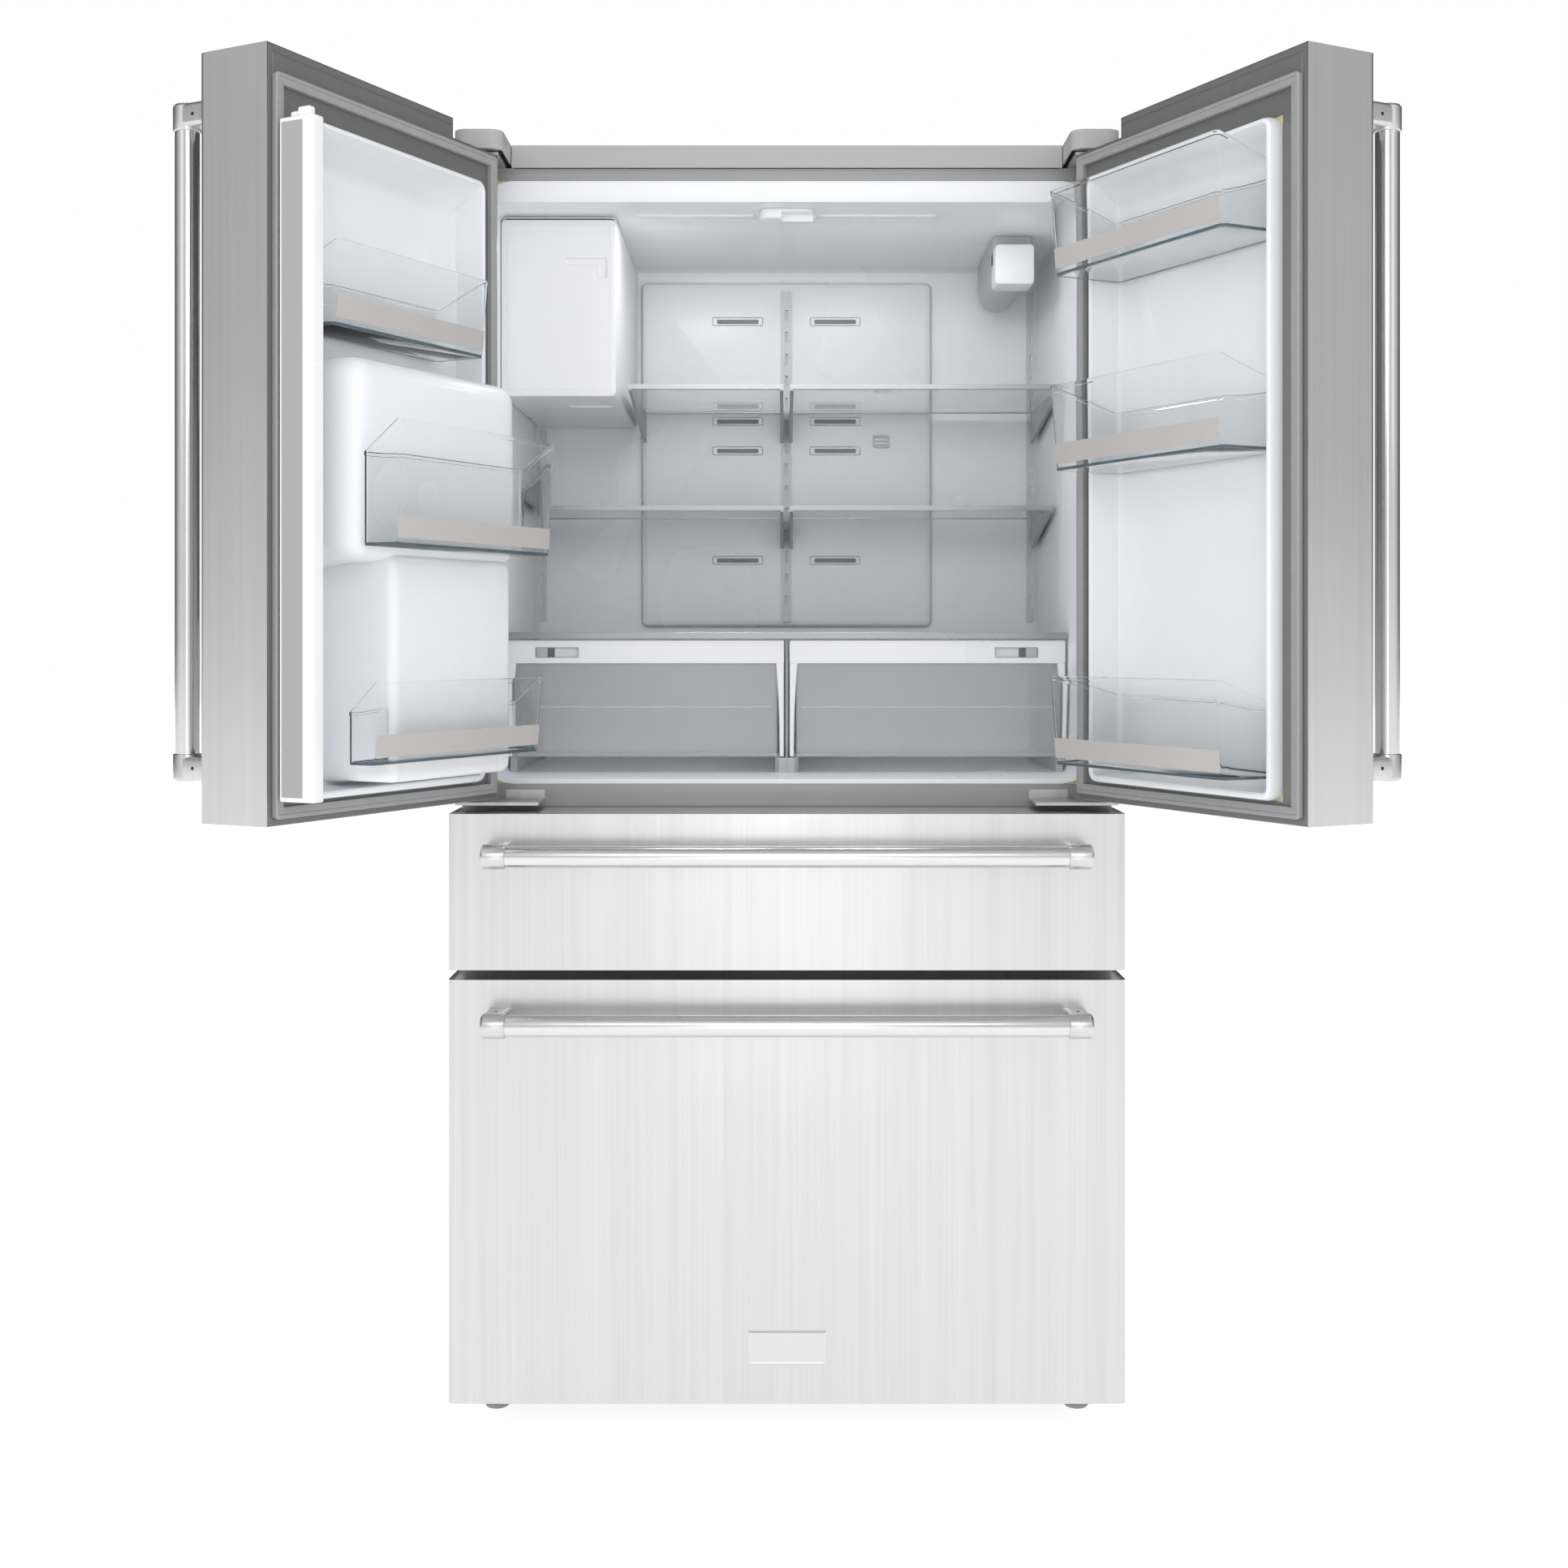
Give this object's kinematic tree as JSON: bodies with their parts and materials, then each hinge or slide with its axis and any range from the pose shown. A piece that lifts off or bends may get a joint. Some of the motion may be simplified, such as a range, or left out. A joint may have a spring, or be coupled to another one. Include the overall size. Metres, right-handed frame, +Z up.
{
  "type": "french door refrigerator",
  "caption": "French door refrigerator with glass shelves, crispers, door bins, an ice and water dispenser and pull-out freezer drawers; doors stand open at rest.",
  "frame": {"origin": "on the floor, under the middle of the footprint with the doors open as stored", "axes": "+Z up, +Y from the drawer fronts towards the wall, +X to the right as seen from the front"},
  "size_m": [1.474, 1.108, 1.772],
  "materials": {
    "air_duct_cover": "white satin plastic",
    "badge": "bright bevelled metal",
    "cabinet_foam": "rigid insulation foam",
    "cabinet_shell": "satin painted grey steel",
    "chassis": "dark painted steel",
    "compressor": "black painted steel can",
    "condenser": "black painted steel tube and fins",
    "condenser_fan": "black plastic",
    "crisper_frame": "white plastic with metallic trim",
    "dispenser_housing": "white satin plastic",
    "dispenser_paddle": "grey plastic",
    "dispenser_recess": "dark grey plastic",
    "door_hinges": "zinc plated steel",
    "face_frame": "satin painted steel",
    "freezer_liners": "white satin plastic",
    "fridge_liner": "white satin plastic",
    "hinge_covers": "grey plastic",
    "ice_bin": "white plastic",
    "ice_box": "white satin plastic",
    "ice_box_cover": "white satin plastic",
    "left_bottom_bin": "clear polystyrene",
    "left_crisper": "clear polystyrene",
    "left_door_foam": "rigid insulation foam",
    "left_door_gasket": "grey flexible seal",
    "left_door_handle": "satin stainless steel",
    "left_door_liner": "white satin plastic",
    "left_door_skin": "vertically brushed stainless steel",
    "left_humidity_slide": "dark grey plastic",
    "left_middle_bin": "clear polystyrene",
    "left_top_bin": "clear polystyrene",
    "levelling_feet": "grey plastic with steel stem",
    "lower_drawer_basket": "white plastic on zinc plated runners",
    "lower_drawer_core": "rigid insulation foam with white inner panel and grey seal",
    "lower_drawer_front": "vertically brushed stainless steel",
    "lower_drawer_handle": "satin stainless steel",
    "lower_drawer_slide_links": "zinc plated steel",
    "mullion": "white plastic with grey steel face",
    "rear_panels": "galvanised steel sheet",
    "rear_rollers": "hard black plastic",
    "right_crisper": "clear polystyrene",
    "right_door_bins": "clear polystyrene",
    "right_door_foam": "rigid insulation foam",
    "right_door_gasket": "grey flexible seal",
    "right_door_handle": "satin stainless steel",
    "right_door_liner": "white satin plastic",
    "right_door_skin": "vertically brushed stainless steel",
    "right_humidity_slide": "dark grey plastic",
    "roof_fittings": "frosted white plastic",
    "shelf_frames": "pale plastic with metallic strip",
    "shelf_glass": "clear tempered glass",
    "shelf_tracks": "white coated steel",
    "slide_rails": "zinc plated steel",
    "top_cover": "grey plastic",
    "upper_drawer_basket": "white plastic on zinc plated runners",
    "upper_drawer_core": "rigid insulation foam with white inner panel and grey seal",
    "upper_drawer_front": "vertically brushed stainless steel",
    "upper_drawer_handle": "satin stainless steel",
    "upper_drawer_slide_links": "zinc plated steel",
    "water_filter": "white plastic",
    "water_valve": "white plastic with brass inlet"
  },
  "bodies": {
    "cabinet": {"air_duct_cover": "air_duct_cover", "cabinet_foam": "cabinet_foam", "cabinet_shell": "cabinet_shell", "chassis": "chassis", "compressor": "compressor", "condenser": "condenser", "crisper_frame": "crisper_frame", "door_hinges": "door_hinges", "face_frame": "face_frame", "freezer_liners": "freezer_liners", "fridge_liner": "fridge_liner", "hinge_covers": "hinge_covers", "ice_bin": "ice_bin", "ice_box": "ice_box", "levelling_feet": "levelling_feet", "rear_panels": "rear_panels", "roof_fittings": "roof_fittings", "shelf_frames": "shelf_frames", "shelf_glass": "shelf_glass", "shelf_tracks": "shelf_tracks", "slide_rails": "slide_rails", "top_cover": "top_cover", "water_filter": "water_filter", "water_valve": "water_valve"},
    "left_door": {"left_door_skin": "left_door_skin", "left_door_liner": "left_door_liner", "left_door_foam": "left_door_foam", "left_door_gasket": "left_door_gasket", "left_door_handle": "left_door_handle", "left_top_bin": "left_top_bin", "left_middle_bin": "left_middle_bin", "left_bottom_bin": "left_bottom_bin", "dispenser_recess": "dispenser_recess", "dispenser_housing": "dispenser_housing"},
    "right_door": {"right_door_skin": "right_door_skin", "right_door_liner": "right_door_liner", "right_door_foam": "right_door_foam", "right_door_gasket": "right_door_gasket", "right_door_handle": "right_door_handle", "right_door_bins": "right_door_bins"},
    "mullion": {"mullion": "mullion"},
    "dispenser_paddle": {"dispenser_paddle": "dispenser_paddle"},
    "ice_box_cover": {"ice_box_cover": "ice_box_cover"},
    "left_crisper": {"left_crisper": "left_crisper"},
    "right_crisper": {"right_crisper": "right_crisper"},
    "left_humidity_slide": {"left_humidity_slide": "left_humidity_slide"},
    "right_humidity_slide": {"right_humidity_slide": "right_humidity_slide"},
    "upper_drawer": {"upper_drawer_front": "upper_drawer_front", "upper_drawer_core": "upper_drawer_core", "upper_drawer_handle": "upper_drawer_handle", "upper_drawer_basket": "upper_drawer_basket"},
    "lower_drawer": {"lower_drawer_front": "lower_drawer_front", "lower_drawer_core": "lower_drawer_core", "lower_drawer_handle": "lower_drawer_handle", "lower_drawer_basket": "lower_drawer_basket", "badge": "badge"},
    "upper_slide_links": {"upper_drawer_slide_links": "upper_drawer_slide_links"},
    "lower_slide_links": {"lower_drawer_slide_links": "lower_drawer_slide_links"},
    "condenser_fan": {"condenser_fan": "condenser_fan"},
    "rear_rollers": {"rear_rollers": "rear_rollers"}
  },
  "joints": [
    {"name": "left_door_hinge", "type": "hinge", "parent": "cabinet", "child": "left_door", "pos_m": [-0.444, -0.11601, 1.3], "axis": [0, 0, -1], "range_deg": [-116.6, 0]},
    {"name": "right_door_hinge", "type": "hinge", "parent": "cabinet", "child": "right_door", "pos_m": [0.444, -0.11601, 1.3], "axis": [0, 0, 1], "range_deg": [-116.6, 0]},
    {"name": "mullion_hinge", "type": "hinge", "parent": "left_door", "child": "mullion", "pos_m": [-0.5709, -0.52666, 1.29], "axis": [0, 0, 1], "range_deg": [-90, 0]},
    {"name": "dispenser_paddle_hinge", "type": "hinge", "parent": "left_door", "child": "dispenser_paddle", "pos_m": [-0.54586, -0.30602, 1.339], "axis": [-0.4478, -0.8942, 0], "range_deg": [0, 5], "stiffness_Nm_per_rad": 0.5, "springref_deg": -5.73},
    {"name": "ice_box_cover_hinge", "type": "hinge", "parent": "cabinet", "child": "ice_box_cover", "pos_m": [-0.411, 0.01949, 1.56], "axis": [0, 0, -1], "range_deg": [0, 60]},
    {"name": "left_crisper_slide", "type": "slide", "parent": "cabinet", "child": "left_crisper", "axis": [0, -1, 0], "range_m": [0, 0.17]},
    {"name": "right_crisper_slide", "type": "slide", "parent": "cabinet", "child": "right_crisper", "axis": [0, -1, 0], "range_m": [0, 0.17]},
    {"name": "left_humidity_slider", "type": "slide", "parent": "left_crisper", "child": "left_humidity_slide", "axis": [1, 0, 0], "range_m": [0, 0.044]},
    {"name": "right_humidity_slider", "type": "slide", "parent": "right_crisper", "child": "right_humidity_slide", "axis": [-1, 0, 0], "range_m": [0, 0.044]},
    {"name": "upper_drawer_slide", "type": "slide", "parent": "cabinet", "child": "upper_drawer", "axis": [0, -1, 0], "range_m": [0, 0.35]},
    {"name": "upper_links_slide", "type": "slide", "parent": "cabinet", "child": "upper_slide_links", "axis": [0, -1, 0], "range_m": [0, 0.175]},
    {"name": "lower_drawer_slide", "type": "slide", "parent": "cabinet", "child": "lower_drawer", "axis": [0, -1, 0], "range_m": [0, 0.35]},
    {"name": "lower_links_slide", "type": "slide", "parent": "cabinet", "child": "lower_slide_links", "axis": [0, -1, 0], "range_m": [0, 0.175]},
    {"name": "condenser_fan_spin", "type": "hinge", "parent": "cabinet", "child": "condenser_fan", "pos_m": [-0.018, 0.46499, 0.197], "axis": [1, 0, 0], "continuous": true},
    {"name": "rear_roller_spin", "type": "hinge", "parent": "cabinet", "child": "rear_rollers", "pos_m": [0, 0.48399, 0.02], "axis": [1, 0, 0], "continuous": true}
  ],
  "couplings": [
    {"joint": "mullion_hinge", "follows": "left_door_hinge", "ratio": 0.77187},
    {"joint": "upper_links_slide", "follows": "upper_drawer_slide", "ratio": 0.5},
    {"joint": "lower_links_slide", "follows": "lower_drawer_slide", "ratio": 0.5}
  ]
}
